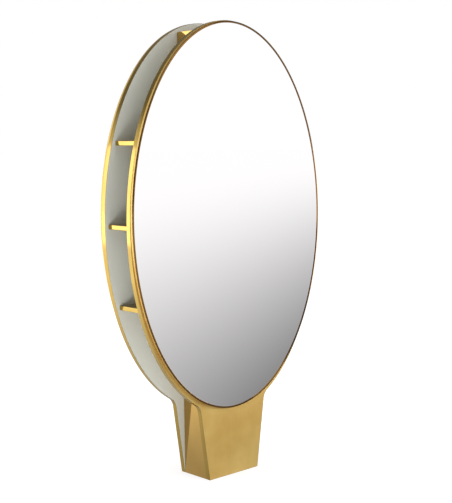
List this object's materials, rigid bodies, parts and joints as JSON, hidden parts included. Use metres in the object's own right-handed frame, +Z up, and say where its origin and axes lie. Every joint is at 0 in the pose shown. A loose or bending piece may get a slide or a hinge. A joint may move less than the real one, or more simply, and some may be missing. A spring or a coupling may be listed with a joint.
{
  "type": "double sided salon styling station",
  "caption": "Free-standing styling station: two bulb-shaped gold panels back to back on a narrow foot, an oval mirror on each outer face and open shelves between them.",
  "frame": {"origin": "on the floor, under the middle of the station", "axes": "+Z up, -Y out of the front mirror, +X to the right of someone who looks at the front mirror"},
  "size_m": [1, 0.196, 1.793],
  "materials": {
    "board": "raw medium density board",
    "pale_laminate": "pale grey-green laminate, satin",
    "satin_gold": "satin brass sheet",
    "polished_gold_band": "polished brass strip",
    "polished_gold": "mirror polished brass sheet",
    "polished_gold_shelf": "polished brass sheet",
    "backing_board": "thin hardboard",
    "mirror": "silvered glass",
    "bronze": "dark bronzed brass",
    "zinc_steel": "zinc plated steel",
    "frame_steel": "black powder coated steel tube",
    "beech": "plain beech"
  },
  "bodies": {
    "root": {"cross_rail_1": "frame_steel", "cross_rail_2": "frame_steel", "cross_rail_3": "frame_steel", "cross_rail_4": "frame_steel", "floor_plate": "zinc_steel", "front_edge_band": "polished_gold_band", "front_mirror_backing": "backing_board", "front_mirror_glass": "mirror", "front_mirror_rim": "bronze", "front_panel_bolts": "zinc_steel", "front_panel_core": "board", "front_panel_face": "satin_gold", "front_panel_lining": "pale_laminate", "front_weld_nuts": "zinc_steel", "left_floor_spigot": "zinc_steel", "left_post": "frame_steel", "left_shelf_board_high": "board", "left_shelf_board_low": "board", "left_shelf_board_middle": "board", "left_shelf_dowels": "beech", "left_shelf_wrap_high": "polished_gold_shelf", "left_shelf_wrap_low": "polished_gold_shelf", "left_shelf_wrap_middle": "polished_gold_shelf", "left_spine_cladding": "polished_gold", "rear_edge_band": "polished_gold_band", "rear_mirror_backing": "backing_board", "rear_mirror_glass": "mirror", "rear_mirror_rim": "bronze", "rear_panel_bolts": "zinc_steel", "rear_panel_core": "board", "rear_panel_face": "satin_gold", "rear_panel_lining": "pale_laminate", "rear_weld_nuts": "zinc_steel", "right_floor_spigot": "zinc_steel", "right_post": "frame_steel", "right_shelf_board_high": "board", "right_shelf_board_low": "board", "right_shelf_board_middle": "board", "right_shelf_dowels": "beech", "right_shelf_wrap_high": "polished_gold_shelf", "right_shelf_wrap_low": "polished_gold_shelf", "right_shelf_wrap_middle": "polished_gold_shelf", "right_spine_cladding": "polished_gold", "spine_cap": "polished_gold"}
  },
  "joints": []
}
